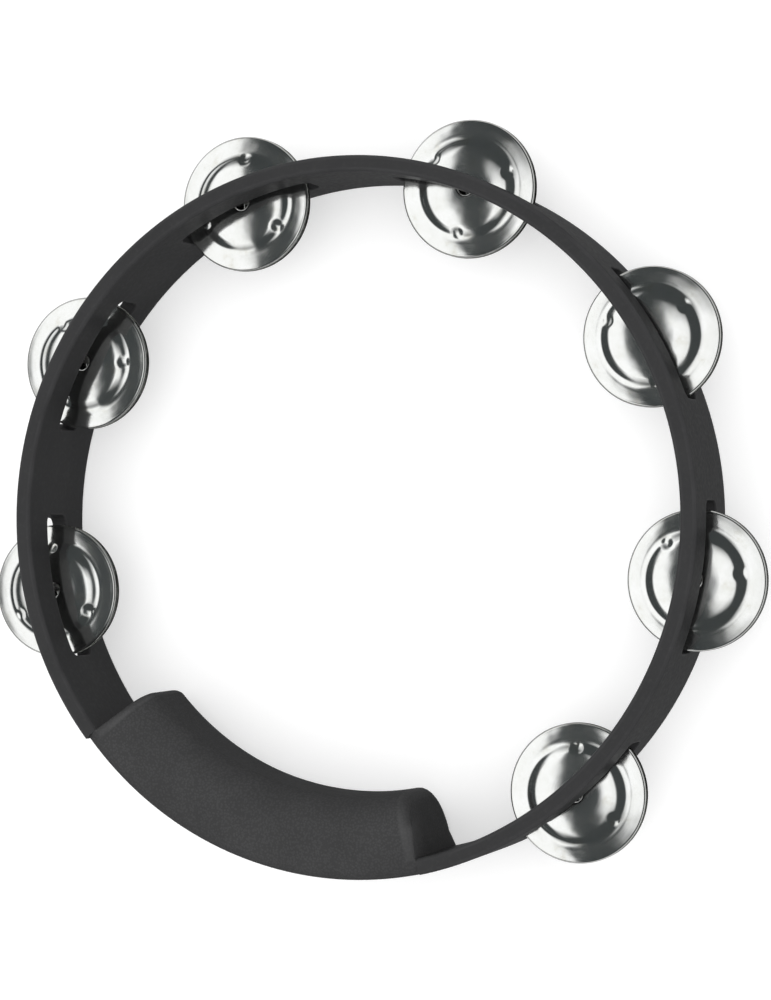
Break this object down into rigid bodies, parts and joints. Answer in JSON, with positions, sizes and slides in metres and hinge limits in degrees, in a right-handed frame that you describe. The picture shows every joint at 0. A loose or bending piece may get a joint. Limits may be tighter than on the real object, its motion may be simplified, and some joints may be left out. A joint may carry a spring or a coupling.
{
  "type": "tambourine",
  "caption": "Headless ring tambourine: a moulded hoop with a thick soft grip on one side and pairs of domed metal jingles that slide and spin on pins in slots through the rim.",
  "frame": {"origin": "middle of the outline at the back rim plane, on the surface that the ring lies on", "axes": "+Z is the ring's axis, towards the front face; +Y runs from the grip to the middle jingle pair; +X is to the right seen from the front"},
  "size_m": [0.2932, 0.2752, 0.045],
  "materials": {
    "hoop_plastic": "black moulded plastic, satin",
    "grip_rubber": "dark grey soft rubber, matte",
    "pin_steel": "plain drawn steel",
    "jingle_nickel": "bright nickel plate"
  },
  "bodies": {
    "frame": {"hoop": "hoop_plastic", "grip_sleeve": "grip_rubber"},
    "pin_1": {"pin_1": "pin_steel"},
    "jingle_back_1": {"jingle_back_1": "jingle_nickel"},
    "jingle_front_1": {"jingle_front_1": "jingle_nickel"},
    "pin_2": {"pin_2": "pin_steel"},
    "jingle_back_2": {"jingle_back_2": "jingle_nickel"},
    "jingle_front_2": {"jingle_front_2": "jingle_nickel"},
    "pin_3": {"pin_3": "pin_steel"},
    "jingle_back_3": {"jingle_back_3": "jingle_nickel"},
    "jingle_front_3": {"jingle_front_3": "jingle_nickel"},
    "pin_4": {"pin_4": "pin_steel"},
    "jingle_back_4": {"jingle_back_4": "jingle_nickel"},
    "jingle_front_4": {"jingle_front_4": "jingle_nickel"},
    "pin_5": {"pin_5": "pin_steel"},
    "jingle_back_5": {"jingle_back_5": "jingle_nickel"},
    "jingle_front_5": {"jingle_front_5": "jingle_nickel"},
    "pin_6": {"pin_6": "pin_steel"},
    "jingle_back_6": {"jingle_back_6": "jingle_nickel"},
    "jingle_front_6": {"jingle_front_6": "jingle_nickel"},
    "pin_7": {"pin_7": "pin_steel"},
    "jingle_back_7": {"jingle_back_7": "jingle_nickel"},
    "jingle_front_7": {"jingle_front_7": "jingle_nickel"}
  },
  "joints": [
    {"name": "pair_spin_1", "type": "hinge", "parent": "frame", "child": "pin_1", "pos_m": [0.10623, -0.07423, 0.0225], "axis": [0, 0, 1], "continuous": true},
    {"name": "back_slide_1", "type": "slide", "parent": "pin_1", "child": "jingle_back_1", "axis": [0, 0, 1], "range_m": [0, 0.002]},
    {"name": "front_slide_1", "type": "slide", "parent": "pin_1", "child": "jingle_front_1", "axis": [0, 0, 1], "range_m": [0, 0.0032]},
    {"name": "pair_spin_2", "type": "hinge", "parent": "frame", "child": "pin_2", "pos_m": [0.12214, 0.00957, 0.0225], "axis": [0, 0, 1], "continuous": true},
    {"name": "back_slide_2", "type": "slide", "parent": "pin_2", "child": "jingle_back_2", "axis": [0, 0, 1], "range_m": [0, 0.002]},
    {"name": "front_slide_2", "type": "slide", "parent": "pin_2", "child": "jingle_front_2", "axis": [0, 0, 1], "range_m": [0, 0.0032]},
    {"name": "pair_spin_3", "type": "hinge", "parent": "frame", "child": "pin_3", "pos_m": [0.08007, 0.08377, 0.0225], "axis": [0, 0, 1], "continuous": true},
    {"name": "back_slide_3", "type": "slide", "parent": "pin_3", "child": "jingle_back_3", "axis": [0, 0, 1], "range_m": [0, 0.002]},
    {"name": "front_slide_3", "type": "slide", "parent": "pin_3", "child": "jingle_front_3", "axis": [0, 0, 1], "range_m": [0, 0.0032]},
    {"name": "pair_spin_4", "type": "hinge", "parent": "frame", "child": "pin_4", "pos_m": [0, 0.11315, 0.0225], "axis": [0, 0, 1], "continuous": true},
    {"name": "back_slide_4", "type": "slide", "parent": "pin_4", "child": "jingle_back_4", "axis": [0, 0, 1], "range_m": [0, 0.002]},
    {"name": "front_slide_4", "type": "slide", "parent": "pin_4", "child": "jingle_front_4", "axis": [0, 0, 1], "range_m": [0, 0.0032]},
    {"name": "pair_spin_5", "type": "hinge", "parent": "frame", "child": "pin_5", "pos_m": [-0.08007, 0.08377, 0.0225], "axis": [0, 0, 1], "continuous": true},
    {"name": "back_slide_5", "type": "slide", "parent": "pin_5", "child": "jingle_back_5", "axis": [0, 0, 1], "range_m": [0, 0.002]},
    {"name": "front_slide_5", "type": "slide", "parent": "pin_5", "child": "jingle_front_5", "axis": [0, 0, 1], "range_m": [0, 0.0032]},
    {"name": "pair_spin_6", "type": "hinge", "parent": "frame", "child": "pin_6", "pos_m": [-0.12214, 0.00957, 0.0225], "axis": [0, 0, 1], "continuous": true},
    {"name": "back_slide_6", "type": "slide", "parent": "pin_6", "child": "jingle_back_6", "axis": [0, 0, 1], "range_m": [0, 0.002]},
    {"name": "front_slide_6", "type": "slide", "parent": "pin_6", "child": "jingle_front_6", "axis": [0, 0, 1], "range_m": [0, 0.0032]},
    {"name": "pair_spin_7", "type": "hinge", "parent": "frame", "child": "pin_7", "pos_m": [-0.10623, -0.07423, 0.0225], "axis": [0, 0, 1], "continuous": true},
    {"name": "back_slide_7", "type": "slide", "parent": "pin_7", "child": "jingle_back_7", "axis": [0, 0, 1], "range_m": [0, 0.002]},
    {"name": "front_slide_7", "type": "slide", "parent": "pin_7", "child": "jingle_front_7", "axis": [0, 0, 1], "range_m": [0, 0.0032]}
  ]
}
